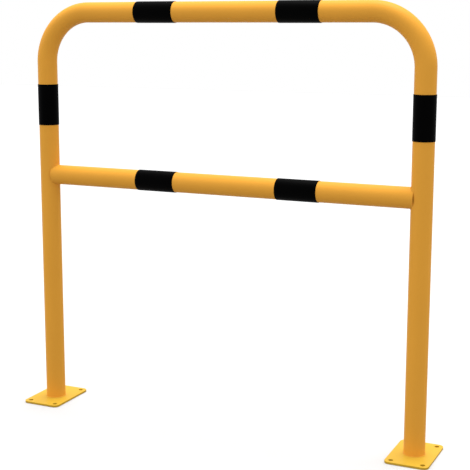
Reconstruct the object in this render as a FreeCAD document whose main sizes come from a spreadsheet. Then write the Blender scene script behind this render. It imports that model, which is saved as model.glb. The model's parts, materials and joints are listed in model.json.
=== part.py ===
import FreeCAD, Part
import math
import os
import Sketcher

# Steel protection hoop: a bent tube with a welded cross rail, on two drilled base plates.
# Millimetres. +X runs from the left leg to the right one, +Y points to the back and +Z up.
# The origin lies on the floor, in the middle under the hoop.

# Driving sizes in millimetres, and angles in degrees. The hoop's height is its own, without its
# plates, and a drop is taken from the axis of the top rail down to a piece's middle.
SIZES = {
    "overall_width": 1000.0,
    "hoop_height": 1000.0,
    "tube_diameter": 48.0,
    "tube_wall": 2.0,
    "bend_radius": 120.0,
    "rail_drop": 398.0,
    "saddle_depth": 9.3,
    "saddle_gap": 0.1,
    "plate_width": 100.0,
    "plate_depth": 150.0,
    "plate_thickness": 5.0,
    "plate_corner": 13.0,
    "bolt_hole": 11.0,
    "bolt_inset": 14.0,
    "band_length": 100.0,
    "band_gap": 0.15,
    "band_thickness": 0.85,
    "leg_band_drop": 224.0,
    "left_band_place": 170.0,
    "right_band_place": 190.0,
    "foot_weld": 1.5,
    "rail_weld": 1.5,
    "rail_weld_angle": 96.0,
}

# Lengths that several pieces share, as expressions on the sheet.
HALF_SPAN = "(Sizes.overall_width - Sizes.tube_diameter) / 2"
AXIS_HEIGHT = "(Sizes.hoop_height - Sizes.tube_diameter / 2)"
FLOOR_TO_TUBE = "Sizes.plate_thickness"
TOP_LEVEL = FLOOR_TO_TUBE + " + " + AXIS_HEIGHT
RAIL_LEVEL = TOP_LEVEL + " - Sizes.rail_drop"
BORE = "(Sizes.tube_diameter - 2 * Sizes.tube_wall)"
BAND_BORE = "(Sizes.tube_diameter + 2 * Sizes.band_gap)"

doc = FreeCAD.newDocument("protection_hoop")
sheet = doc.addObject("Spreadsheet::Sheet", "Sizes")
for row, (alias, value) in enumerate(SIZES.items(), start=1):
    sheet.set("A%d" % row, alias)
    sheet.set("B%d" % row, str(value))
    sheet.setAlias("B%d" % row, alias)
doc.recompute()


def new_body(name, x="0", z="0"):
    """Return a body whose origin stands at x and z, both given as expressions."""
    body = doc.addObject("PartDesign::Body", name)
    body.Label = name
    body.setExpression("Placement.Base.x", x)
    body.setExpression("Placement.Base.z", z)
    return body


def new_sketch(body, role, name, lift=None):
    """Return a sketch on the body's origin plane of that role, lifted along its normal."""
    planes = [plane for plane in body.Origin.OriginFeatures if plane.Role == role]
    sketch = body.newObject("Sketcher::SketchObject", name)
    sketch.AttachmentSupport = [(planes[0], "")]
    sketch.MapMode = "FlatFace"
    if lift is not None:
        sketch.setExpression("AttachmentOffset.Base.z", lift)
    return sketch


def bind(sketch, name, expression, kind, *where):
    """Add a dimension to the sketch and bind its value to an expression on the sheet."""
    start = sketch.evalExpression(expression)
    index = sketch.addConstraint(Sketcher.Constraint(kind, *where, float(start)))
    sketch.renameConstraint(index, name)
    sketch.setExpression("Constraints." + name, expression)


def relate(sketch, kind, *where):
    """Add a geometric relation to the sketch."""
    sketch.addConstraint(Sketcher.Constraint(kind, *where))


def draw_ring(sketch, outer, inner, shift=None):
    """Draw two circles round one centre: at the origin, or on the X axis at a distance."""
    up = FreeCAD.Vector(0, 0, 1)
    centre = FreeCAD.Vector(0, 0, 0)
    if shift is not None:
        centre.x = float(sketch.evalExpression(shift))
    for diameter in (outer, inner):
        radius = float(sketch.evalExpression(diameter)) / 2
        sketch.addGeometry(Part.Circle(centre, up, radius), False)
    relate(sketch, "Coincident", 0, 3, 1, 3)
    if shift is None:
        relate(sketch, "Coincident", 0, 3, -1, 1)
    else:
        relate(sketch, "PointOnObject", 0, 3, -1)
        bind(sketch, "shift", shift, "DistanceX", -1, 1, 0, 3)
    bind(sketch, "outer", outer, "Diameter", 0)
    bind(sketch, "inner", inner, "Diameter", 1)


def edge_names(shape, wanted):
    """Return the names of the shape's edges that the test accepts."""
    return ["Edge%d" % number for number, edge in enumerate(shape.Edges, start=1) if wanted(edge)]


def make_hoop_tube():
    """One tube with two bends: a hollow section carried up a leg, over the top and down."""
    body = new_body("hoop_tube", z=FLOOR_TO_TUBE)
    half_span = float(sheet.evalExpression(HALF_SPAN))
    top = float(sheet.evalExpression(AXIS_HEIGHT))
    bend = float(sheet.evalExpression("Sizes.bend_radius"))
    up = FreeCAD.Vector(0, 0, 1)

    path = new_sketch(body, "XZ_Plane", "hoop_path")
    left_foot = FreeCAD.Vector(-half_span, 0, 0)
    left_bend = FreeCAD.Vector(-half_span, top - bend, 0)
    rail_left = FreeCAD.Vector(bend - half_span, top, 0)
    rail_right = FreeCAD.Vector(half_span - bend, top, 0)
    right_bend = FreeCAD.Vector(half_span, top - bend, 0)
    right_foot = FreeCAD.Vector(half_span, 0, 0)
    left_centre = FreeCAD.Vector(bend - half_span, top - bend, 0)
    right_centre = FreeCAD.Vector(half_span - bend, top - bend, 0)
    left_circle = Part.Circle(left_centre, up, bend)
    right_circle = Part.Circle(right_centre, up, bend)
    path.addGeometry(Part.LineSegment(left_foot, left_bend), False)
    path.addGeometry(Part.ArcOfCircle(left_circle, math.pi / 2, math.pi), False)
    path.addGeometry(Part.LineSegment(rail_left, rail_right), False)
    path.addGeometry(Part.ArcOfCircle(right_circle, 0, math.pi / 2), False)
    path.addGeometry(Part.LineSegment(right_bend, right_foot), False)
    relate(path, "Tangent", 0, 2, 1, 2)
    relate(path, "Tangent", 1, 1, 2, 1)
    relate(path, "Tangent", 2, 2, 3, 2)
    relate(path, "Tangent", 3, 1, 4, 1)
    relate(path, "Vertical", 0)
    relate(path, "Horizontal", 2)
    relate(path, "Equal", 1, 3)
    relate(path, "PointOnObject", 0, 1, -1)
    relate(path, "Symmetric", 0, 1, 4, 2, -2)
    bind(path, "bend", "Sizes.bend_radius", "Radius", 1)
    bind(path, "span", "2 * " + HALF_SPAN, "DistanceX", 0, 1, 4, 2)
    bind(path, "rise", AXIS_HEIGHT, "DistanceY", -1, 1, 2, 1)

    section = new_sketch(body, "XY_Plane", "hoop_section")
    draw_ring(section, "Sizes.tube_diameter", BORE, "-" + HALF_SPAN)
    doc.recompute()

    tube = body.newObject("PartDesign::AdditivePipe", "hoop_bend")
    tube.Profile = section
    tube.Spine = (path, [])
    return body


def make_cross_rail():
    """Straight tube with a saddle at each end, whose thin ears are cut off square."""
    body = new_body("cross_rail", z=RAIL_LEVEL)
    section = new_sketch(body, "YZ_Plane", "rail_section")
    draw_ring(section, "Sizes.tube_diameter", BORE)
    tube = body.newObject("PartDesign::Pad", "rail_tube")
    tube.Profile = section
    tube.SideType = "Symmetric"
    end = HALF_SPAN + " - Sizes.tube_diameter / 2 + Sizes.saddle_depth"
    tube.setExpression("Length", "2 * (" + end + ")")
    doc.recompute()

    legs = new_sketch(body, "XY_Plane", "leg_outlines")
    up = FreeCAD.Vector(0, 0, 1)
    saddle = "Sizes.tube_diameter / 2 + Sizes.saddle_gap"
    half_span = float(sheet.evalExpression(HALF_SPAN))
    radius = float(sheet.evalExpression(saddle))
    for side in (-1, 1):
        centre = FreeCAD.Vector(side * half_span, 0, 0)
        legs.addGeometry(Part.Circle(centre, up, radius), False)
    relate(legs, "PointOnObject", 0, 3, -1)
    relate(legs, "Symmetric", 0, 3, 1, 3, -1, 1)
    relate(legs, "Equal", 0, 1)
    bind(legs, "span", "2 * " + HALF_SPAN, "DistanceX", 0, 3, 1, 3)
    bind(legs, "saddle", saddle, "Radius", 0)
    saddles = body.newObject("PartDesign::Pocket", "rail_saddles")
    saddles.Profile = legs
    saddles.Type = "ThroughAll"
    saddles.SideType = "Symmetric"
    return body


def make_base_plate(side_name, x):
    """Flat plate with rounded corners and a bolt hole near each of them."""
    body = new_body("base_plate_" + side_name, x=x)
    half_width = float(sheet.evalExpression("Sizes.plate_width / 2"))
    half_depth = float(sheet.evalExpression("Sizes.plate_depth / 2"))
    corners = [
        FreeCAD.Vector(-half_width, -half_depth, 0),
        FreeCAD.Vector(half_width, -half_depth, 0),
        FreeCAD.Vector(half_width, half_depth, 0),
        FreeCAD.Vector(-half_width, half_depth, 0),
    ]
    outline = new_sketch(body, "XY_Plane", "plate_outline_" + side_name)
    for number in range(4):
        line = Part.LineSegment(corners[number], corners[(number + 1) % 4])
        outline.addGeometry(line, False)
    for number in range(4):
        relate(outline, "Coincident", number, 2, (number + 1) % 4, 1)
    for number in (0, 2):
        relate(outline, "Horizontal", number)
        relate(outline, "Vertical", number + 1)
    relate(outline, "Symmetric", 0, 1, 2, 1, -1, 1)
    bind(outline, "width", "Sizes.plate_width", "DistanceX", 0, 1, 0, 2)
    bind(outline, "depth", "Sizes.plate_depth", "DistanceY", 1, 1, 1, 2)
    slab = body.newObject("PartDesign::Pad", "plate_slab_" + side_name)
    slab.Profile = outline
    slab.setExpression("Length", "Sizes.plate_thickness")

    def upright(edge):
        """Tell whether an edge runs straight up."""
        return abs(edge.Vertexes[0].Z - edge.Vertexes[-1].Z) > 0.01

    doc.recompute()
    corners_rounded = body.newObject("PartDesign::Fillet", "plate_corners_" + side_name)
    corners_rounded.Base = (slab, edge_names(slab.Shape, upright))
    corners_rounded.setExpression("Radius", "Sizes.plate_corner")
    doc.recompute()

    holes = new_sketch(body, "XY_Plane", "bolt_places_" + side_name, "Sizes.plate_thickness")
    up = FreeCAD.Vector(0, 0, 1)
    inset = float(sheet.evalExpression("Sizes.bolt_inset"))
    radius = float(sheet.evalExpression("Sizes.bolt_hole / 2"))
    for x_sign, y_sign in ((-1, -1), (1, -1), (-1, 1), (1, 1)):
        place = FreeCAD.Vector(x_sign * (half_width - inset), y_sign * (half_depth - inset), 0)
        holes.addGeometry(Part.Circle(place, up, radius), False)
    relate(holes, "Symmetric", 0, 3, 1, 3, -2)
    relate(holes, "Symmetric", 0, 3, 2, 3, -1)
    relate(holes, "Symmetric", 0, 3, 3, 3, -1, 1)
    for number in (1, 2, 3):
        relate(holes, "Equal", 0, number)
    bind(holes, "across", "Sizes.plate_width - 2 * Sizes.bolt_inset", "DistanceX", 0, 3, 1, 3)
    bind(holes, "along", "Sizes.plate_depth - 2 * Sizes.bolt_inset", "DistanceY", 0, 3, 2, 3)
    bind(holes, "bore", "Sizes.bolt_hole", "Diameter", 0)
    doc.recompute()
    drilled = body.newObject("PartDesign::Hole", "bolt_holes_" + side_name)
    drilled.Profile = holes
    drilled.DepthType = "ThroughAll"
    drilled.setExpression("Diameter", "Sizes.bolt_hole")
    return body


def make_band(name, role, x, z):
    """Thin sleeve round a tube that runs square to the given plane."""
    body = new_body(name, x=x, z=z)
    section = new_sketch(body, role, name + "_section")
    draw_ring(section, BAND_BORE + " + 2 * Sizes.band_thickness", BAND_BORE)
    sleeve = body.newObject("PartDesign::Pad", name + "_sleeve")
    sleeve.Profile = section
    sleeve.SideType = "Symmetric"
    sleeve.setExpression("Length", "Sizes.band_length")
    return body


def make_foot_weld(side_name, x):
    """Fillet bead round the foot of a leg: a right-angled triangle turned full circle."""
    body = new_body("foot_weld_" + side_name, x=x, z=FLOOR_TO_TUBE)
    bead = new_sketch(body, "XZ_Plane", "foot_bead_" + side_name)
    radius = float(sheet.evalExpression("Sizes.tube_diameter / 2"))
    weld = float(sheet.evalExpression("Sizes.foot_weld"))
    corners = [
        FreeCAD.Vector(radius, 0, 0),
        FreeCAD.Vector(radius + weld, 0, 0),
        FreeCAD.Vector(radius, weld, 0),
    ]
    for number in range(3):
        line = Part.LineSegment(corners[number], corners[(number + 1) % 3])
        bead.addGeometry(line, False)
    for number in range(3):
        relate(bead, "Coincident", number, 2, (number + 1) % 3, 1)
    relate(bead, "PointOnObject", 0, 1, -1)
    relate(bead, "Horizontal", 0)
    relate(bead, "Vertical", 2)
    relate(bead, "Equal", 0, 2)
    bind(bead, "leg_surface", "Sizes.tube_diameter / 2", "DistanceX", -1, 1, 0, 1)
    bind(bead, "size", "Sizes.foot_weld", "DistanceX", 0, 1, 0, 2)
    doc.recompute()
    turned = body.newObject("PartDesign::Revolution", "foot_ring_" + side_name)
    turned.Profile = bead
    turned.ReferenceAxis = (bead, ["V_Axis"])
    turned.Angle = 360
    return body


def round_bar(radius, axis, closing_side):
    """Return a long bar about the origin, whose closing line lies on the given side."""
    length = 6 * radius
    bar = Part.makeCylinder(radius, length)
    turn = FreeCAD.Rotation(closing_side, FreeCAD.Vector(), axis, "ZXY")
    bar.Placement = FreeCAD.Placement(axis * (-length / 2), turn)
    return bar


def make_rail_weld(name, side, up):
    """Bead along the seam where the rail's saddle meets a leg, over its top or under it.

    Two equal tubes that cross at right angles meet along an ellipse in a plane at 45 degrees.
    The bead is a triangle carried along that ellipse, with one side as the bead's face and its
    corners inside the tubes, wide enough for the seam's flattest stretch. Bars cut it back to
    the tubes' surfaces. Their closing lines are turned away from the bead, because a cut along
    a closing line can leave material behind.
    """
    radius = sheet.tube_diameter / 2
    reach = math.radians(sheet.rail_weld_angle / 2)
    across = FreeCAD.Vector(0, 1, 0)
    crest = FreeCAD.Vector(-side, 0, up)
    upright = FreeCAD.Vector(side, 0, up).normalize()

    ellipse = Part.Ellipse(FreeCAD.Vector(), radius * math.sqrt(2), radius)
    turn = FreeCAD.Rotation(crest, across, crest.cross(across), "XYZ")
    ellipse.rotate(FreeCAD.Placement(FreeCAD.Vector(), turn))
    seam = ellipse.toShape(-reach, reach)
    start = seam.valueAt(seam.FirstParameter)
    heading = seam.tangentAt(seam.FirstParameter)
    outward = heading.cross(upright)
    if outward.dot(start) < 0:
        outward = outward.negative()
    outward.normalize()
    throat = sheet.rail_weld / math.sqrt(2)
    face_half = 2.6 * throat
    corners = [
        start + outward * throat + upright * face_half,
        start + outward * throat - upright * face_half,
        start - outward * throat,
    ]
    section = Part.makePolygon(corners + corners[:1])
    rod = Part.Wire(seam).makePipeShell([section], True, True)
    leg = round_bar(radius, FreeCAD.Vector(0, 0, 1), FreeCAD.Vector(side, 0, 0))
    rail = round_bar(radius, FreeCAD.Vector(1, 0, 0), FreeCAD.Vector(0, 0, -up))

    bead = doc.addObject("Part::Feature", name)
    bead.Label = name
    bead.Shape = rod.cut([leg, rail])
    bead.setExpression("Placement.Base.x", "%d * %s" % (side, HALF_SPAN))
    bead.setExpression("Placement.Base.z", RAIL_LEVEL)
    return bead


# Each side's name, its sign along X, and the distance of its rail bands from the middle.
SIDES = (
    ("left", -1, "-Sizes.left_band_place"),
    ("right", 1, "Sizes.right_band_place"),
)

pieces = [make_hoop_tube(), make_cross_rail()]
for side_name, side, band_place in SIDES:
    leg_place = "%d * %s" % (side, HALF_SPAN)
    leg_band_level = TOP_LEVEL + " - Sizes.leg_band_drop"
    pieces.append(make_base_plate(side_name, leg_place))
    pieces.append(make_band("leg_band_" + side_name, "XY_Plane", leg_place, leg_band_level))
    pieces.append(make_band("top_band_" + side_name, "YZ_Plane", band_place, TOP_LEVEL))
    pieces.append(make_band("rail_band_" + side_name, "YZ_Plane", band_place, RAIL_LEVEL))
    pieces.append(make_foot_weld(side_name, leg_place))
    pieces.append(make_rail_weld("rail_weld_top_" + side_name, side, 1))
    pieces.append(make_rail_weld("rail_weld_under_" + side_name, side, -1))
doc.recompute()

# Nothing is written before every object and every piece has been found sound.
for item in doc.Objects:
    faults = [state for state in item.State if state in ("Invalid", "Error")]
    if faults:
        raise RuntimeError("%s failed: %s" % (item.Label, ", ".join(faults)))
for piece in pieces:
    if piece.Shape.isNull() or not piece.Shape.isValid():
        raise RuntimeError("%s has no sound shape" % piece.Label)
    if len(piece.Shape.Solids) != 1:
        raise RuntimeError("%s is not one solid" % piece.Label)

os.makedirs("parts", exist_ok=True)
for piece in pieces:
    piece.Shape.exportStep("parts/%s.step" % piece.Label)
    print("%-24s %10.0f mm3" % (piece.Label, piece.Shape.Volume))
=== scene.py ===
"""Looks of a steel protection hoop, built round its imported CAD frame.

A bent tube with a welded cross rail stands on two drilled base plates. Tubes, plates and weld
beads carry a yellow powder coating, and black sleeves mark the tubes. Each visible piece is a
surface worked out with numpy, in metres and in the frame of the CAD model, and stands for the
CAD node that its name begins with.
"""
import json
import logging
import math
from dataclasses import dataclass
from enum import Enum
from typing import Any

import bmesh
import bpy
import numpy as np
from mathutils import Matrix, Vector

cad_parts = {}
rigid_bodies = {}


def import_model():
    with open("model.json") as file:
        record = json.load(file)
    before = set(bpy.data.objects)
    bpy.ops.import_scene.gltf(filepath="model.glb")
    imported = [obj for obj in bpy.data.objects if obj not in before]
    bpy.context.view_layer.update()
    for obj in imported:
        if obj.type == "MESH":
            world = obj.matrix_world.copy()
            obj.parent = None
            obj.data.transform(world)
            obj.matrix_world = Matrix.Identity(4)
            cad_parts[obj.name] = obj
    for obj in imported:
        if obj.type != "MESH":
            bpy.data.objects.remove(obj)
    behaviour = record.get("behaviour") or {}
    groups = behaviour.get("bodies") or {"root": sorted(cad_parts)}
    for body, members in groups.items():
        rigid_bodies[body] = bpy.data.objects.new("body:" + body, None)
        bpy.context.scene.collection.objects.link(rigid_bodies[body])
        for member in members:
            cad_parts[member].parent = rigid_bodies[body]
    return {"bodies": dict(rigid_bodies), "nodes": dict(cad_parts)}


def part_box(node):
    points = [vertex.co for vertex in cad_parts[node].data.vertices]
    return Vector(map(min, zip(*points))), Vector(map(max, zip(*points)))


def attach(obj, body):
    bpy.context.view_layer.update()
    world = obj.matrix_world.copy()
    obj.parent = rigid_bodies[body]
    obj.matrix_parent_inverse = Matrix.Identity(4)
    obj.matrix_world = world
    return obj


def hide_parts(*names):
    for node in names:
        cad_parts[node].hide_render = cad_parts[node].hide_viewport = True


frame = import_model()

BODY = "root"
FULL_TURN = 2 * math.pi
QUARTER_TURN = math.pi / 2
UP = np.array([0.0, 0.0, 1.0])
ACROSS = np.array([0.0, 1.0, 0.0])

# The middle of a noise's range.
MIDDLE = 0.5
# The least part of a direction along an axis, so that nothing is divided by zero.
LEAST_SLOPE = 1e-12
# Points nearer to a line than this, in metres, lie on it.
TOUCHING = 1e-9

Colour = tuple[float, float, float]

logging.basicConfig(level=logging.INFO, format="%(message)s")
log = logging.getLogger("protection_hoop")


class Slot(Enum):
    """The record's material slots."""

    TUBE = "tube_coating"
    PLATE = "plate_coating"
    WELD = "weld_coating"
    BAND = "black_band"


class Side(Enum):
    """The hoop's two sides, as the sign of X."""

    LEFT = -1
    RIGHT = 1

    @property
    def word(self) -> str:
        """The side's name as the CAD nodes spell it."""
        return self.name.lower()


class Run(Enum):
    """The direction that a straight stretch of tube runs in."""

    LEVEL = "level"
    UPRIGHT = "upright"


def clear_startup_objects() -> None:
    """Remove what Blender starts with, so that only the frame is left."""
    framed = set(frame["nodes"].values()) | set(frame["bodies"].values())
    for leftover in set(bpy.data.objects) - framed:
        bpy.data.objects.remove(leftover)
    bpy.context.view_layer.update()


clear_startup_objects()
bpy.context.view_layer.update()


def node_box(node: str) -> tuple[np.ndarray, np.ndarray]:
    """Read where a CAD node is.

    Args:
        node: The node's name.

    Returns:
        Its lowest and its highest corner in metres.
    """
    low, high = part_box(node)
    return np.array(low), np.array(high)


def around(steps: int) -> np.ndarray:
    """Angles of a full turn in equal steps, without the repeated last one."""
    return np.arange(steps) * (FULL_TURN / steps)


def unit(vectors: np.ndarray) -> np.ndarray:
    """The same directions with a length of one."""
    return vectors / np.linalg.norm(vectors, axis=-1, keepdims=True)


def lifted(plan: np.ndarray, height: np.ndarray | float) -> np.ndarray:
    """Give points in plan their height.

    Args:
        plan: Points of X and Y.
        height: One height, or one that fits the points row by row.

    Returns:
        Points of X, Y and Z.
    """
    level = np.broadcast_to(height, plan.shape[:-1])
    return np.concatenate([plan, level[..., None]], axis=-1)


class Skin:
    """A surface gathered from grids of points, which are joined where they meet."""

    JOIN_DISTANCE = 1e-6
    CREASE = math.radians(40)

    def __init__(self) -> None:
        """Start with no grids."""
        self.points: list[np.ndarray] = []
        self.quads: list[np.ndarray] = []
        self.smooth: list[np.ndarray] = []
        self.count = 0

    def add(
        self,
        grid: np.ndarray,
        wrap_rows: bool = False,
        wrap_columns: bool = False,
        smooth: bool = True,
    ) -> None:
        """Add a grid, with a quad between every four neighbouring points.

        Args:
            grid: Points of shape (rows, columns, 3).
            wrap_rows: Whether the last row is joined to the first.
            wrap_columns: Whether the last column is joined to the first.
            smooth: Whether the quads are shaded as one curved surface.
        """
        rows, columns = grid.shape[:2]
        row = np.arange(rows if wrap_rows else rows - 1)
        column = np.arange(columns if wrap_columns else columns - 1)
        row, column = np.meshgrid(row, column, indexing="ij")
        next_row = (row + 1) % rows
        next_column = (column + 1) % columns
        corners = [
            row * columns + column,
            row * columns + next_column,
            next_row * columns + next_column,
            next_row * columns + column,
        ]
        quads = np.stack(corners, axis=-1).reshape(-1, 4) + self.count
        self.points.append(grid.reshape(-1, 3))
        self.quads.append(quads)
        self.smooth.append(np.full(len(quads), smooth))
        self.count += rows * columns

    def mesh(self, name: str) -> bpy.types.Mesh:
        """Join the grids into one mesh whose faces point outwards.

        Args:
            name: The mesh's name.

        Returns:
            The mesh, with creases marked where faces meet at more than CREASE.
        """
        points = np.concatenate(self.points)
        quads = np.concatenate(self.quads)
        made = bpy.data.meshes.new(name)
        made.vertices.add(len(points))
        made.vertices.foreach_set("co", points.ravel())
        made.loops.add(quads.size)
        made.loops.foreach_set("vertex_index", quads.ravel())
        made.polygons.add(len(quads))
        made.polygons.foreach_set("loop_start", np.arange(0, quads.size, 4))
        made.polygons.foreach_set("use_smooth", np.concatenate(self.smooth))
        made.update(calc_edges=True)

        joined = bmesh.new()
        joined.from_mesh(made)
        bmesh.ops.remove_doubles(joined, verts=joined.verts, dist=self.JOIN_DISTANCE)
        bmesh.ops.recalc_face_normals(joined, faces=joined.faces)
        joined.to_mesh(made)
        joined.free()
        made.set_sharp_from_angle(angle=self.CREASE)
        return made


class Signal:
    """A number that varies over a surface: a socket on which arithmetic adds Math nodes."""

    def __init__(self, recipe: "Recipe", socket: bpy.types.NodeSocket) -> None:
        """Wrap an output socket of the recipe's node tree."""
        self.recipe = recipe
        self.socket = socket

    def _combine(
        self,
        operation: str,
        first: "Signal | float",
        second: "Signal | float",
    ) -> "Signal":
        """Add a Math node for one operation.

        Args:
            operation: The node's operation.
            first: A signal or a number.
            second: A signal or a number.

        Returns:
            The node's result.
        """
        sockets = {0: first, 1: second}
        node = self.recipe.node("ShaderNodeMath", {"operation": operation}, sockets)
        return Signal(self.recipe, node.outputs[0])

    def __add__(self, other: "Signal | float") -> "Signal":
        """This signal plus another, or plus a number."""
        return self._combine("ADD", self, other)

    def __sub__(self, other: "Signal | float") -> "Signal":
        """This signal less another, or less a number."""
        return self._combine("SUBTRACT", self, other)

    def __rsub__(self, other: "Signal | float") -> "Signal":
        """A number less this signal."""
        return self._combine("SUBTRACT", other, self)

    def __mul__(self, other: "Signal | float") -> "Signal":
        """This signal times another, or times a number."""
        return self._combine("MULTIPLY", self, other)

    __radd__ = __add__
    __rmul__ = __mul__


@dataclass(frozen=True)
class Grain:
    """A noise over a surface: its cells in a metre, and how many finer octaves it has."""

    scale: float
    detail: float


def opaque(colour: Colour) -> tuple[float, float, float, float]:
    """The colour as a colour socket takes it, with full opacity."""
    return (*colour, 1.0)


class Recipe:
    """The node tree of one material or of the world, and the ways to add to it.

    A Mix node has sockets for numbers, vectors and colours. The numbers below are those of
    its share, of its two colours and of the mixed colour.
    """

    MIX_SHARE = 0
    MIX_FIRST = 6
    MIX_SECOND = 7
    MIX_RESULT = 2

    def __init__(self, tree: bpy.types.NodeTree) -> None:
        """Start from an emptied node tree."""
        tree.nodes.clear()
        self.tree = tree

    def node(
        self,
        kind: str,
        settings: dict[str, Any] | None = None,
        sockets: dict[str | int, Any] | None = None,
    ) -> bpy.types.Node:
        """Add a node.

        Args:
            kind: The node's type.
            settings: Its properties, which are set first.
            sockets: A value, a Signal or a socket to link for each input, by name or number.

        Returns:
            The new node.
        """
        made = self.tree.nodes.new(kind)
        for name, value in (settings or {}).items():
            setattr(made, name, value)
        for key, value in (sockets or {}).items():
            source = value.socket if isinstance(value, Signal) else value
            if isinstance(source, bpy.types.NodeSocket):
                self.tree.links.new(source, made.inputs[key])
            else:
                made.inputs[key].default_value = source
        return made

    def signal(self, node: bpy.types.Node, output: str | int = 0) -> Signal:
        """Wrap one output of a node."""
        return Signal(self, node.outputs[output])

    def noise(self, grain: Grain, place: bpy.types.NodeSocket) -> Signal:
        """Add a noise pattern.

        Args:
            grain: The pattern's scale and detail.
            place: The coordinates that it follows.

        Returns:
            A signal from about 0.2 to 0.8 round MIDDLE.
        """
        sockets = {"Vector": place, "Scale": grain.scale, "Detail": grain.detail}
        return self.signal(self.node("ShaderNodeTexNoise", None, sockets), "Fac")

    def blend(self, share: Signal, first: Colour, second: Colour) -> bpy.types.NodeSocket:
        """Mix two colours.

        Args:
            share: The second colour's share.
            first: The colour at a share of 0.
            second: The colour at a share of 1.

        Returns:
            The mixed colour's socket.
        """
        ends = {self.MIX_FIRST: opaque(first), self.MIX_SECOND: opaque(second)}
        mix = self.node("ShaderNodeMix", {"data_type": "RGBA"}, {self.MIX_SHARE: share, **ends})
        return mix.outputs[self.MIX_RESULT]

    def cover(
        self,
        colour: bpy.types.NodeSocket,
        gloss_level: float,
        roughness: Signal,
        relief: Signal,
        relief_height: float,
    ) -> None:
        """Cover the material's surface with one shader, raised by a relief.

        Args:
            colour: The colour's socket.
            gloss_level: How strongly the surface reflects, where 0.5 is usual for plastic.
            roughness: How dull it is.
            relief: Its relief, from 0 to about 1.
            relief_height: How many metres a relief of 1 stands for.
        """
        bump = self.node("ShaderNodeBump", None, {"Distance": relief_height, "Height": relief})
        sockets = {
            "Base Color": colour,
            "Roughness": roughness,
            "Specular IOR Level": gloss_level,
            "Normal": bump.outputs["Normal"],
        }
        surface = self.node("ShaderNodeBsdfPrincipled", None, sockets)
        self.node("ShaderNodeOutputMaterial", None, {"Surface": surface.outputs[0]})


def new_material(name: str) -> tuple[bpy.types.Material, Recipe]:
    """Start a material.

    Args:
        name: Its name.

    Returns:
        The material, and the recipe of its emptied node tree.
    """
    material = bpy.data.materials.new(name)
    material.use_nodes = True
    return material, Recipe(material.node_tree)


def shade(colour: Colour, factor: float) -> Colour:
    """The same colour, lighter or darker by a factor, and never above one."""
    red, green, blue = (min(1.0, channel * factor) for channel in colour)
    return red, green, blue


@dataclass(frozen=True)
class PowderCoat:
    """Satin yellow powder coating: a fine orange peel under a nearly even colour."""

    name: str
    colour: Colour = (0.815, 0.377, 0.046)
    colour_drift: float = 0.03
    drift: Grain = Grain(scale=9.0, detail=2.0)
    gloss_level: float = 0.06
    roughness: float = 0.44
    roughness_spread: float = 0.10
    peel: Grain = Grain(scale=640.0, detail=1.0)
    peel_height: float = 0.00016
    speck: Grain = Grain(scale=2600.0, detail=2.0)
    speck_share: float = 0.2

    def make(self) -> bpy.types.Material:
        """Write the coating as a material.

        The colour drifts slowly by a few percent. The orange peel is a noise of small cells
        with finer specks on it. It raises the surface and varies its gloss.

        Returns:
            The material.
        """
        material, recipe = new_material(self.name)
        place = recipe.node("ShaderNodeTexCoord").outputs["Object"]
        drift = recipe.noise(self.drift, place)
        peel = recipe.noise(self.peel, place)
        speck = recipe.noise(self.speck, place)
        deep = shade(self.colour, 1 - self.colour_drift)
        pale = shade(self.colour, 1 + self.colour_drift)
        colour = recipe.blend(drift, deep, pale)
        dullness = (peel - MIDDLE) * self.roughness_spread + self.roughness
        relief = peel + speck * self.speck_share
        recipe.cover(colour, self.gloss_level, dullness, relief, self.peel_height)
        return material


@dataclass(frozen=True)
class BlackSleeve:
    """Dull black plastic with a faint pebbled grain."""

    name: str
    colour: Colour = (0.0001, 0.0001, 0.0001)
    faded: Colour = (0.0004, 0.0004, 0.0005)
    fading: Grain = Grain(scale=30.0, detail=2.0)
    roughness: float = 0.5
    roughness_spread: float = 0.10
    gloss_level: float = 0.015
    pebble: Grain = Grain(scale=1400.0, detail=2.0)
    pebble_height: float = 0.00006

    def make(self) -> bpy.types.Material:
        """Write the plastic as a material.

        A fine noise gives the pebbled relief and varies the gloss, and a slow one fades the
        black a little here and there.

        Returns:
            The material.
        """
        material, recipe = new_material(self.name)
        place = recipe.node("ShaderNodeTexCoord").outputs["Object"]
        colour = recipe.blend(recipe.noise(self.fading, place), self.colour, self.faded)
        pebble = recipe.noise(self.pebble, place)
        dullness = (pebble - MIDDLE) * self.roughness_spread + self.roughness
        recipe.cover(colour, self.gloss_level, dullness, pebble, self.pebble_height)
        return material


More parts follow.
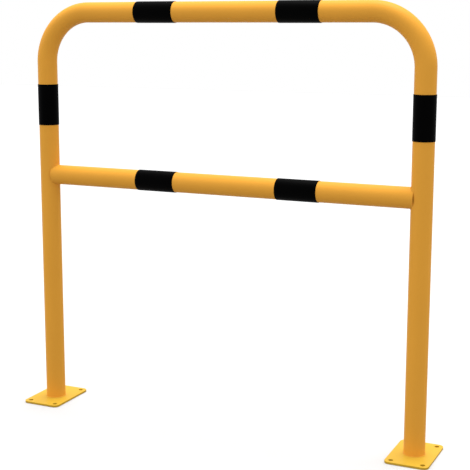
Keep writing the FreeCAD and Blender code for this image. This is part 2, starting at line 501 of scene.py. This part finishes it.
class Paintbox:
    """The finishes of the hoop, each made once and kept by its slot."""

    def __init__(self) -> None:
        """Make the four finishes."""
        finishes = {
            Slot.TUBE: PowderCoat("yellow_tube_coating"),
            # The plates' coating has less red than the tubes'. This is partly their own lemon
            # yellow, which shows on their shaded edges too, and partly painted light: the red is
            # lowered so that their brightly lit tops show a lemon highlight instead of clipping
            # to orange.
            Slot.PLATE: PowderCoat("yellow_plate_coating", colour=(0.62, 0.374, 0.038)),
            # The weld beads' coating is darker than the tubes': painted shade, standing in for
            # the dark contact shade in the crease where each leg meets its plate. The rail's
            # beads share it and are darkened with it.
            Slot.WELD: PowderCoat(
                "yellow_weld_coating",
                colour=(0.69, 0.315, 0.038),
                peel_height=0.0001,
            ),
            Slot.BAND: BlackSleeve("black_sleeve"),
        }
        self.materials = {slot: finish.make() for slot, finish in finishes.items()}

    def finish(self, skin: Skin, node: str, word: str, slot: Slot) -> None:
        """Turn a surface into a finished piece that stands for a CAD node.

        The piece's object is at the origin and rides on the body.

        Args:
            skin: The piece's surface.
            node: The CAD node that the piece replaces.
            word: What is added to the node's name to name the piece.
            slot: The record's slot that the piece takes its finish from.
        """
        name = f"{node}_{word}"
        piece = bpy.data.objects.new(name, skin.mesh(name))
        bpy.context.scene.collection.objects.link(piece)
        piece.data.materials.append(self.materials[slot])
        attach(piece, BODY)
        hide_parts(node)
        faces = len(piece.data.polygons)
        log.info("%s: %d faces, %s", name, faces, self.materials[slot].name)


@dataclass(frozen=True)
class TubeStock:
    """The round tube that the hoop and its cross rail are cut from."""

    radius: float
    wall: float = 0.002
    lip: float = 0.0003

    @property
    def bore(self) -> float:
        """The inner radius."""
        return self.radius - self.wall


@dataclass
class HoopTube:
    """One length of tube, bent twice: a leg, the top rail and the other leg."""

    stock: TubeStock
    half_span: float
    foot_level: float
    axis_level: float
    bend_radius: float = 0.120
    flattening: float = 0.0004
    ring_steps: int = 96
    leg_steps: int = 24
    bend_steps: int = 44
    rail_steps: int = 12

    @classmethod
    def from_frame(cls) -> "HoopTube":
        """Take the tube's place and sizes from the CAD nodes.

        Returns:
            The hoop tube.
        """
        low, high = node_box("hoop_tube")
        plate_top = node_box("base_plate_left")[1][2]
        rail_low, rail_high = node_box("cross_rail")
        radius = (rail_high[2] - rail_low[2]) / 2
        half_span = (high[0] - low[0]) / 2 - radius
        return cls(TubeStock(radius), half_span, plate_top, high[2] - radius)

    def centre_line(self) -> tuple[np.ndarray, np.ndarray, np.ndarray]:
        """Work out stations along the tube's centre line, from the left foot to the right one.

        The left half runs straight up, turns through a quarter circle and runs level to the
        middle, and the right half is its mirror image. The outward direction points away from
        the other leg on a leg and up on the top rail, and turns with the circle in between.

        Returns:
            The centres, the outward directions, and how far each station is into its bend,
            from 0 at the bend's ends to 1 half way round.
        """
        bend_level = self.axis_level - self.bend_radius
        first = self.foot_level + self.stock.lip
        rise = np.linspace(first, bend_level, self.leg_steps, endpoint=False) - bend_level
        share = np.linspace(0, 1, self.bend_steps, endpoint=False)
        along = np.linspace(0, self.half_span - self.bend_radius, self.rail_steps + 1)

        angle = np.concatenate(
            [
                np.full(self.leg_steps, math.pi),
                math.pi - QUARTER_TURN * share,
                np.full(self.rail_steps + 1, QUARTER_TURN),
            ]
        )
        outward = np.stack([np.cos(angle), np.zeros_like(angle), np.sin(angle)], axis=-1)
        straight = np.zeros_like(outward)
        straight[: self.leg_steps, 2] = rise
        straight[-self.rail_steps - 1 :, 0] = along
        corner = np.array([self.bend_radius - self.half_span, 0, bend_level])
        centre = corner + self.bend_radius * outward + straight
        depth = np.zeros_like(angle)
        depth[self.leg_steps : self.leg_steps + self.bend_steps] = np.sin(math.pi * share) ** 2

        mirror = np.array([-1.0, 1.0, 1.0])
        centre = np.concatenate([centre, centre[-2::-1] * mirror])
        outward = np.concatenate([outward, outward[-2::-1] * mirror])
        depth = np.concatenate([depth, depth[-2::-1]])
        return centre, outward, depth

    def rings(
        self,
        centre: np.ndarray,
        outward: np.ndarray,
        radius: np.ndarray | float,
    ) -> np.ndarray:
        """Set a ring round each station, in the plane of its outward direction and Y.

        Args:
            centre: The stations.
            outward: Their outward directions.
            radius: One radius, or one for each station and angle.

        Returns:
            The rings' points, of shape (stations, ring_steps, 3).
        """
        angle = around(self.ring_steps)
        spoke = np.cos(angle)[:, None] * outward[:, None, :] + np.sin(angle)[:, None] * ACROSS
        reach = np.broadcast_to(radius, spoke.shape[:2])
        return centre[:, None, :] + reach[..., None] * spoke

    def build(self, paints: Paintbox) -> None:
        """Carry a hollow section along the centre line.

        The outer wall, the right foot's cut, the bore and the left foot's cut follow each other
        as the rows of one grid that closes on itself both ways. Half way round a bend the
        section's outer side is a little flatter, as it is on any tube bent cold.

        Args:
            paints: The finishes.
        """
        centre, outward, depth = self.centre_line()
        squash = np.maximum(np.cos(around(self.ring_steps)), 0) ** 2
        worn = self.flattening * depth[:, None] * squash
        lip = self.stock.lip
        drop = np.array([0, 0, -lip])
        last = slice(-1, None)
        first = slice(0, 1)
        outer_cut = self.stock.radius - lip
        inner_cut = self.stock.bore + lip
        rows = [
            self.rings(centre, outward, self.stock.radius - worn),
            self.rings(centre[last] + drop, outward[last], outer_cut),
            self.rings(centre[last] + drop, outward[last], inner_cut),
            self.rings(centre, outward, self.stock.bore - worn)[::-1],
            self.rings(centre[first] + drop, outward[first], inner_cut),
            self.rings(centre[first] + drop, outward[first], outer_cut),
        ]
        skin = Skin()
        skin.add(np.concatenate(rows), wrap_rows=True, wrap_columns=True)
        paints.finish(skin, "hoop_tube", "coated", Slot.TUBE)


@dataclass
class WeldBead:
    """A fillet bead laid along a seam between two surfaces."""

    size: float
    crown: float = 0.00012
    ripple_pitch: float = 0.0014
    ripple_height: float = 0.00006
    ripple_sweep: float = 0.0006
    root_depth: float = 0.0004
    face_steps: int = 12

    def surface(
        self,
        seam: np.ndarray,
        first_toe: np.ndarray,
        second_toe: np.ndarray,
        fullness: np.ndarray,
        closed: bool,
    ) -> Skin:
        """Lay the bead.

        Across the seam the bead's face runs straight from one toe to the other and swells in
        the middle by the crown. Along it the swelling rises and falls as a cosine of the
        distance travelled, and lags towards the toes, so the ripples are curved as a run of
        frozen pools is. A line of points under the face closes the section.

        Args:
            seam: Points of the seam, in order.
            first_toe: At each point, the direction in which the bead climbs one surface.
            second_toe: The same for the other surface.
            fullness: The share of the full size that the bead has at each point.
            closed: Whether the seam comes back to its first point.

        Returns:
            The bead's surface.
        """
        lengths = np.linalg.norm(np.diff(seam, axis=0), axis=-1)
        travelled = np.concatenate([[0.0], np.cumsum(lengths)])
        whole = travelled[-1]
        if closed:
            whole += np.linalg.norm(seam[0] - seam[-1])
        pitch = whole / max(1, round(whole / self.ripple_pitch))

        across = np.linspace(0, 1, self.face_steps + 1)
        swell = 4 * across * (1 - across)
        lag = self.ripple_sweep * (2 * across - 1) ** 2
        phase = FULL_TURN * (travelled[:, None] + lag) / pitch
        height = swell * (self.crown + self.ripple_height * np.cos(phase))

        reach = (self.size * fullness)[:, None]
        first = seam + first_toe * reach
        second = seam + second_toe * reach
        outward = unit(first_toe + second_toe)
        face = first[:, None, :] * (1 - across)[:, None] + second[:, None, :] * across[:, None]
        face = face + outward[:, None, :] * (height * fullness[:, None])[..., None]
        root = seam - outward * (self.root_depth * fullness)[:, None]
        skin = Skin()
        grid = np.concatenate([face, root[:, None, :]], axis=1)
        skin.add(grid, wrap_rows=closed, wrap_columns=True)
        return skin


@dataclass
class CrossRail:
    """A straight tube between the legs, its saddled ends welded over and under."""

    stock: TubeStock
    half_span: float
    level: float
    ear_reach: float
    weld_size: float
    saddle_gap: float = 0.0001
    weld_half_angle: float = math.radians(48)
    weld_taper: float = math.radians(6)
    square_margin: float = 0.25
    ring_steps: int = 144
    rail_steps: int = 18
    weld_steps: int = 336

    @classmethod
    def from_frame(cls, hoop: HoopTube) -> "CrossRail":
        """Take the rail and its beads from their CAD nodes.

        Args:
            hoop: The hoop, which is of the same tube.

        Returns:
            The cross rail.
        """
        low, high = node_box("cross_rail")
        weld_size = node_box("rail_weld_top_left")[1][2] - high[2]
        return cls(hoop.stock, hoop.half_span, (low[2] + high[2]) / 2, high[0], weld_size)

    def reach(self, radius: float) -> np.ndarray:
        """Work out how far the rail reaches at each angle round it.

        The saddle is a cylinder round the leg's axis, so at a distance y in front of the axis
        it stands off that axis by the root of its radius squared less y squared. The ears past
        ear_reach are cut off square.

        Args:
            radius: The radius on the rail's section, from its bore to its outside.

        Returns:
            The distance from the rail's middle for each angle.
        """
        saddle = self.stock.radius + self.saddle_gap
        forward = radius * np.sin(around(self.ring_steps))
        return np.minimum(self.half_span - np.sqrt(saddle**2 - forward**2), self.ear_reach)

    def ring(self, radius: float, along: np.ndarray) -> np.ndarray:
        """Set a ring of the rail's section.

        Args:
            radius: The ring's radius.
            along: Each point's own distance from the rail's middle.

        Returns:
            The ring's points.
        """
        angle = around(self.ring_steps)
        upward = self.level + radius * np.cos(angle)
        return np.stack([along, radius * np.sin(angle), upward], axis=-1)

    def wall(self, radius: float) -> np.ndarray:
        """Work out a wall from the left saddle to the right one.

        Its rings stand square to the rail, except for the outermost ones, which follow the
        saddles less a lip. The square ones end before the saddles, by square_margin of the
        tube's radius.

        Args:
            radius: The wall's radius.

        Returns:
            The wall's rings, from left to right.
        """
        end = self.reach(radius) - self.stock.lip
        square = np.min(end) - self.stock.radius * self.square_margin
        places = np.linspace(-square, square, self.rail_steps + 1)
        middle = [np.full(self.ring_steps, place) for place in places]
        return np.stack([self.ring(radius, along) for along in (-end, *middle, end)])

    def build_tube(self, paints: Paintbox) -> None:
        """Make the rail: outer wall, right end, bore and left end, as one closed grid.

        Args:
            paints: The finishes.
        """
        lip = self.stock.lip
        outer = self.stock.radius - lip
        inner = self.stock.bore + lip
        rows = [
            self.wall(self.stock.radius),
            self.ring(outer, self.reach(outer))[None],
            self.ring(inner, self.reach(inner))[None],
            self.wall(self.stock.bore)[::-1],
            self.ring(inner, -self.reach(inner))[None],
            self.ring(outer, -self.reach(outer))[None],
        ]
        skin = Skin()
        skin.add(np.concatenate(rows), wrap_rows=True, wrap_columns=True)
        paints.finish(skin, "cross_rail", "coated", Slot.TUBE)

    def build_weld(self, paints: Paintbox, side: Side, top: bool) -> None:
        """Lay the bead over or under one end of the rail.

        The rail and the leg are equal tubes, so their surfaces meet where the distance along
        the rail equals the height: the seam's points are the cosine of an angle inwards and up
        or down, and its sine to the front. The bead climbs the leg straight up or down and the
        rail straight inwards, and thins out at its ends along a quarter circle.

        Args:
            paints: The finishes.
            side: The end that is welded.
            top: Whether the bead lies over the rail or under it.
        """
        angle = np.linspace(-self.weld_half_angle, self.weld_half_angle, self.weld_steps)
        inward = np.array([-float(side.value), 0, 0])
        away = UP if top else -UP
        crest = self.stock.radius * np.cos(angle)[:, None] * (inward + away)
        front = self.stock.radius * np.sin(angle)[:, None] * ACROSS
        seam = np.array([side.value * self.half_span, 0, self.level]) + crest + front
        left = np.clip((self.weld_half_angle - np.abs(angle)) / self.weld_taper, 0, 1)
        fullness = np.sqrt(1 - (1 - left) ** 2)
        climb = np.broadcast_to(away, seam.shape)
        spread = np.broadcast_to(inward, seam.shape)
        bead = WeldBead(self.weld_size)
        skin = bead.surface(seam, climb, spread, fullness, closed=False)
        place = "top" if top else "under"
        paints.finish(skin, f"rail_weld_{place}_{side.word}", "bead", Slot.WELD)

    def build(self, paints: Paintbox) -> None:
        """Make the rail and its four beads.

        Args:
            paints: The finishes.
        """
        self.build_tube(paints)
        for side in Side:
            self.build_weld(paints, side, top=True)
            self.build_weld(paints, side, top=False)


@dataclass
class Foot:
    """A drilled base plate with rounded corners, and the bead round the leg on it."""

    side: Side
    centre: float
    half_width: float
    half_depth: float
    thickness: float
    leg_radius: float
    weld_size: float
    corner: float = 0.013
    edge: float = 0.0006
    bolt_radius: float = 0.0055
    bolt_inset: float = 0.014
    bolt_lip: float = 0.0005
    flat_rings: tuple[float, ...] = (0.0, 0.12, 0.4, 1.0)
    ray_steps: int = 72
    arc_steps: int = 6
    weld_steps: int = 864

    @classmethod
    def from_frame(cls, side: Side, hoop: HoopTube) -> "Foot":
        """Take the plate's and its bead's place and sizes from their CAD nodes.

        Args:
            side: The side that the foot is at.
            hoop: The hoop, whose leg stands on the plate.

        Returns:
            The foot.
        """
        low, high = node_box(f"base_plate_{side.word}")
        half = (high - low) / 2
        centre = (low[0] + high[0]) / 2
        weld_size = node_box(f"foot_weld_{side.word}")[1][2] - high[2]
        return cls(side, centre, half[0], half[1], high[2], hoop.stock.radius, weld_size)

    @property
    def hole(self) -> np.ndarray:
        """The bolt hole's place in the quarter with positive X and Y, from the plate's middle."""
        return np.array([self.half_width, self.half_depth]) - self.bolt_inset

    def rays(self) -> tuple[np.ndarray, np.ndarray, np.ndarray]:
        """Work out rays from a bolt hole to the border of its quarter of the plate.

        A quarter runs from the plate's middle to its rounded corner, less the edge's rounding.
        A ray ends at the nearer of the quarter's sides, or on the corner's circle where it
        would otherwise pass it. Rays to the quarter's own corners are among them, so that the
        quarters meet point to point.

        Returns:
            The rays' directions, their lengths, and for each of them the plate's outward
            direction where it ends, which is zero on the lines between the quarters.
        """
        far = np.array([self.half_width, self.half_depth]) - self.edge
        hole = self.hole
        radius = self.corner - self.edge
        pivot = far - radius
        marks = np.array(
            [[0, 0], [0, far[1]], [pivot[0], far[1]], [far[0], pivot[1]], [far[0], 0]]
        )
        marked = np.arctan2(*(marks - hole).T[::-1])
        angle = np.unique(np.concatenate([around(self.ray_steps) - math.pi, marked]))
        heading = np.stack([np.cos(angle), np.sin(angle)], axis=-1)
        heading[np.abs(heading) < LEAST_SLOPE] = LEAST_SLOPE

        limit = np.where(heading > 0, far, 0.0)
        length = np.min((limit - hole) / heading, axis=-1)
        end = hole + length[:, None] * heading
        past = np.all(end > pivot + TOUCHING, axis=-1)
        offset = hole - pivot
        slope = heading @ offset
        arc = np.sqrt(slope**2 - offset @ offset + radius**2) - slope
        length = np.where(past, arc, length)
        end = hole + length[:, None] * heading

        outward = np.where(end > far - TOUCHING, 1.0, 0.0)
        outward = np.where(past[:, None], (end - pivot) / radius, outward)
        return heading, length, outward

    def levels(self, bend: np.ndarray, rounding: float) -> np.ndarray:
        """Work out the heights of a wall's profile, from the plate's top to its underside.

        Args:
            bend: Angles of a quarter round, from 0.
            rounding: The quarter round's radius.

        Returns:
            The heights as a column: down the top's quarter round, and then the underside's.
        """
        top = self.thickness - rounding * (1 - np.cos(bend))
        bottom = rounding * (1 - np.cos(bend[::-1]))
        return np.concatenate([top, bottom])[:, None]

    def quarter(self) -> list[tuple[np.ndarray, bool, bool]]:
        """Work out the surfaces of the plate's quarter with positive X and Y.

        The flats run along the rays from the hole's lip to the border, with rings at the
        shares of that way in flat_rings. The hole's wall and the plate's edge are profiles
        carried round the hole and along the border: a quarter round at the top, a straight
        drop and a quarter round at the bottom.

        Returns:
            Grids, and for each whether its columns close on themselves and whether it is
            shaded as a curved surface.
        """
        heading, length, outward = self.rays()
        hole = self.hole
        bend = np.linspace(0, QUARTER_TURN, self.arc_steps + 1)
        out_and_in = np.concatenate([np.sin(bend), np.sin(bend[::-1])])
        lip_radius = self.bolt_radius + self.bolt_lip
        shares = np.array(self.flat_rings)[:, None]
        spokes = lip_radius + shares * (length - lip_radius)
        flat = hole + spokes[..., None] * heading
        hole_radius = lip_radius - self.bolt_lip * out_and_in
        bore = hole + hole_radius[:, None, None] * heading
        rim = np.any(outward > 0, axis=-1)
        border = (hole + length[:, None] * heading)[rim]
        edge = border + (self.edge * out_and_in)[:, None, None] * outward[rim]
        return [
            (lifted(flat, self.thickness), True, False),
            (lifted(flat, 0.0), True, False),
            (lifted(bore, self.levels(bend, self.bolt_lip)), True, True),
            (lifted(edge, self.levels(bend, self.edge)), False, True),
        ]

    def build_plate(self, paints: Paintbox) -> None:
        """Make the plate from one quarter and its three mirror images.

        Args:
            paints: The finishes.
        """
        skin = Skin()
        for grid, closed, smooth in self.quarter():
            for x_sign in (-1, 1):
                for y_sign in (-1, 1):
                    mirrored = grid * np.array([x_sign, y_sign, 1.0])
                    mirrored[..., 0] += self.centre
                    skin.add(mirrored, wrap_columns=closed, smooth=smooth)
        paints.finish(skin, f"base_plate_{self.side.word}", "coated", Slot.PLATE)

    def build_weld(self, paints: Paintbox) -> None:
        """Lay the bead round the leg: a circle from which it climbs the leg and spreads out.

        Args:
            paints: The finishes.
        """
        angle = around(self.weld_steps)
        outward = np.stack([np.cos(angle), np.sin(angle), np.zeros_like(angle)], axis=-1)
        seam = np.array([self.centre, 0, self.thickness]) + self.leg_radius * outward
        climb = np.broadcast_to(UP, seam.shape)
        bead = WeldBead(self.weld_size)
        skin = bead.surface(seam, climb, outward, np.ones_like(angle), closed=True)
        paints.finish(skin, f"foot_weld_{self.side.word}", "bead", Slot.WELD)

    def build(self, paints: Paintbox) -> None:
        """Make the plate and its bead."""
        self.build_plate(paints)
        self.build_weld(paints)


@dataclass
class Band:
    """A black plastic sleeve that sits tight round a tube."""

    node: str
    run: Run
    centre: np.ndarray
    half_length: float
    outer_radius: float
    tube_radius: float
    shoulder: float = 0.0005
    ring_steps: int = 96
    arc_steps: int = 5

    @classmethod
    def from_frame(cls, node: str, run: Run, hoop: HoopTube) -> "Band":
        """Take the sleeve's place and sizes from its CAD node.

        Args:
            node: The sleeve's node.
            run: The direction of the tube under it.
            hoop: The hoop, which is of the same tube.

        Returns:
            The sleeve.
        """
        low, high = node_box(node)
        half = (high - low) / 2
        long_axis = 0 if run is Run.LEVEL else 2
        middle = (low + high) / 2
        return cls(node, run, middle, half[long_axis], half[1], hoop.stock.radius)

    def build(self, paints: Paintbox) -> None:
        """Turn the sleeve's section round the tube's axis.

        The section is a long thin rectangle from the tube's surface to the outer radius, and
        each of its outer corners is a quarter round.

        Args:
            paints: The finishes.
        """
        bend = np.linspace(0, QUARTER_TURN, self.arc_steps + 1)
        flat = self.half_length - self.shoulder
        along = flat + self.shoulder * np.sin(bend)
        out = self.outer_radius - self.shoulder * (1 - np.cos(bend))
        along = np.concatenate([-along[::-1], along, [self.half_length, -self.half_length]])
        out = np.concatenate([out[::-1], out, [self.tube_radius, self.tube_radius]])

        angle = around(self.ring_steps)
        long_axis, side_axis = (0, 2) if self.run is Run.LEVEL else (2, 0)
        grid = np.empty((len(along), len(angle), 3))
        grid[..., long_axis] = along[:, None]
        grid[..., side_axis] = out[:, None] * np.cos(angle)
        grid[..., 1] = out[:, None] * np.sin(angle)
        skin = Skin()
        skin.add(grid + self.centre, wrap_rows=True, wrap_columns=True)
        paints.finish(skin, self.node, "sleeve", Slot.BAND)


@dataclass(frozen=True)
class PhotoCamera:
    """The camera of the photograph, as it was worked out from the tubes' edges.

    Angles are in radians: yaw turns the view from +Y towards -X, and pitch lowers it.
    The focal length and the optical centre are in pixels of the square frame, and the
    sensor's width is in millimetres.
    """

    place: tuple[float, float, float] = (1.10361, -2.35129, 0.95664)
    yaw: float = 0.4380
    pitch: float = 0.1733
    focal_length: float = 1124.41
    optical_centre: tuple[float, float] = (223.08, 219.54)
    frame_size: int = 470
    sensor_width: float = 36.0

    def build(self) -> None:
        """Set the camera up as the scene's own."""
        lens = bpy.data.cameras.new("photo_camera")
        lens.sensor_width = self.sensor_width
        lens.lens = self.focal_length / self.frame_size * self.sensor_width
        middle = self.frame_size / 2
        lens.shift_x = (middle - self.optical_centre[0]) / self.frame_size
        lens.shift_y = (self.optical_centre[1] - middle) / self.frame_size
        camera = bpy.data.objects.new("photo_camera", lens)
        camera.location = self.place
        camera.rotation_euler = (QUARTER_TURN - self.pitch, 0, self.yaw)
        bpy.context.scene.collection.objects.link(camera)
        bpy.context.scene.camera = camera


@dataclass(frozen=True)
class Studio:
    """A white room over a pale floor, with a wide soft lamp overhead and a weak one at the left.

    The room is seen pure white, and lights the hoop at the level of room_light. A lamp's light
    is the level at which it lights a white surface square to it.
    """

    white: Colour = (1.0, 1.0, 1.0)
    floor_half_size: float = 12.0
    floor_drop: float = 0.0002
    floor_seen: Colour = (0.59, 0.59, 0.59)
    floor_lit: Colour = (0.213, 0.213, 0.213)
    room_light: float = 0.94
    lamp_light: float = 1.04
    lamp_spread: float = math.radians(40)
    lamp_lean: float = math.radians(10)
    side_light: float = 0.12
    side_spread: float = math.radians(60)
    side_height: float = math.radians(15)
    side_turn: float = math.radians(-65)

    @staticmethod
    def seen(recipe: Recipe) -> Signal:
        """Tell the rays that show a surface from those that carry its light on.

        Args:
            recipe: The floor's or the world's node tree.

        Returns:
            A signal of 1 on camera, gloss and transmission rays and of 0 on diffuse ones.
        """
        rays = recipe.node("ShaderNodeLightPath")
        camera, gloss, clear = (
            recipe.signal(rays, f"Is {kind} Ray") for kind in ("Camera", "Glossy", "Transmission")
        )
        return camera + gloss + clear

    def build_floor(self) -> None:
        """Lay the floor.

        Its lighter colour turns out white under the full light, and camera, gloss and
        transmission rays see it, with the hoop's shadow. Diffuse rays meet the darker one.
        """
        corners = np.array([-self.floor_half_size, self.floor_half_size])
        east, north = np.meshgrid(corners, corners)
        level = np.full_like(east, -self.floor_drop)
        skin = Skin()
        skin.add(np.stack([east, north, level], axis=-1), smooth=False)
        floor = bpy.data.objects.new("studio_floor", skin.mesh("studio_floor"))
        bpy.context.scene.collection.objects.link(floor)
        material, recipe = new_material("pale_floor")
        colour = recipe.blend(self.seen(recipe), self.floor_lit, self.floor_seen)
        matt = recipe.node("ShaderNodeBsdfDiffuse", None, {"Color": colour})
        recipe.node("ShaderNodeOutputMaterial", None, {"Surface": matt.outputs[0]})
        floor.data.materials.append(material)

    def hang_lamp(
        self,
        name: str,
        light: float,
        spread: float,
        turn: tuple[float, float, float],
    ) -> None:
        """Hang a lamp so far away that it lights the whole hoop alike.

        Args:
            name: The lamp's name.
            light: Its light.
            spread: How wide it looks from the hoop, which makes its light soft.
            turn: Its rotation from hanging straight above.
        """
        lamp = bpy.data.lights.new(name, "SUN")
        lamp.energy = light * math.pi
        lamp.angle = spread
        hung = bpy.data.objects.new(name, lamp)
        hung.rotation_euler = turn
        bpy.context.scene.collection.objects.link(hung)

    def build_light(self) -> None:
        """Fill the room with even light, and hang the lamps over the back and at the left."""
        world = bpy.data.worlds.new("white_room")
        world.use_nodes = True
        bpy.context.scene.world = world
        recipe = Recipe(world.node_tree)
        strength = self.seen(recipe) * (1 - self.room_light) + self.room_light
        sockets = {"Color": opaque(self.white), "Strength": strength}
        light = recipe.node("ShaderNodeBackground", None, sockets)
        recipe.node("ShaderNodeOutputWorld", None, {"Surface": light.outputs[0]})

        lean = (-self.lamp_lean, 0, 0)
        self.hang_lamp("overhead_lamp", self.lamp_light, self.lamp_spread, lean)
        aside = (QUARTER_TURN - self.side_height, 0, self.side_turn)
        self.hang_lamp("side_lamp", self.side_light, self.side_spread, aside)

    def build(self) -> None:
        """Set up the floor, the light and the view settings."""
        self.build_floor()
        self.build_light()
        bpy.context.scene.view_settings.view_transform = "Standard"


def main() -> None:
    """Build the hoop, its camera and its studio."""
    paints = Paintbox()
    hoop = HoopTube.from_frame()
    hoop.build(paints)
    CrossRail.from_frame(hoop).build(paints)
    for side in Side:
        Foot.from_frame(side, hoop).build(paints)
        Band.from_frame(f"leg_band_{side.word}", Run.UPRIGHT, hoop).build(paints)
        Band.from_frame(f"top_band_{side.word}", Run.LEVEL, hoop).build(paints)
        Band.from_frame(f"rail_band_{side.word}", Run.LEVEL, hoop).build(paints)
    Studio().build()
    PhotoCamera().build()


if __name__ == "__main__":
    main()
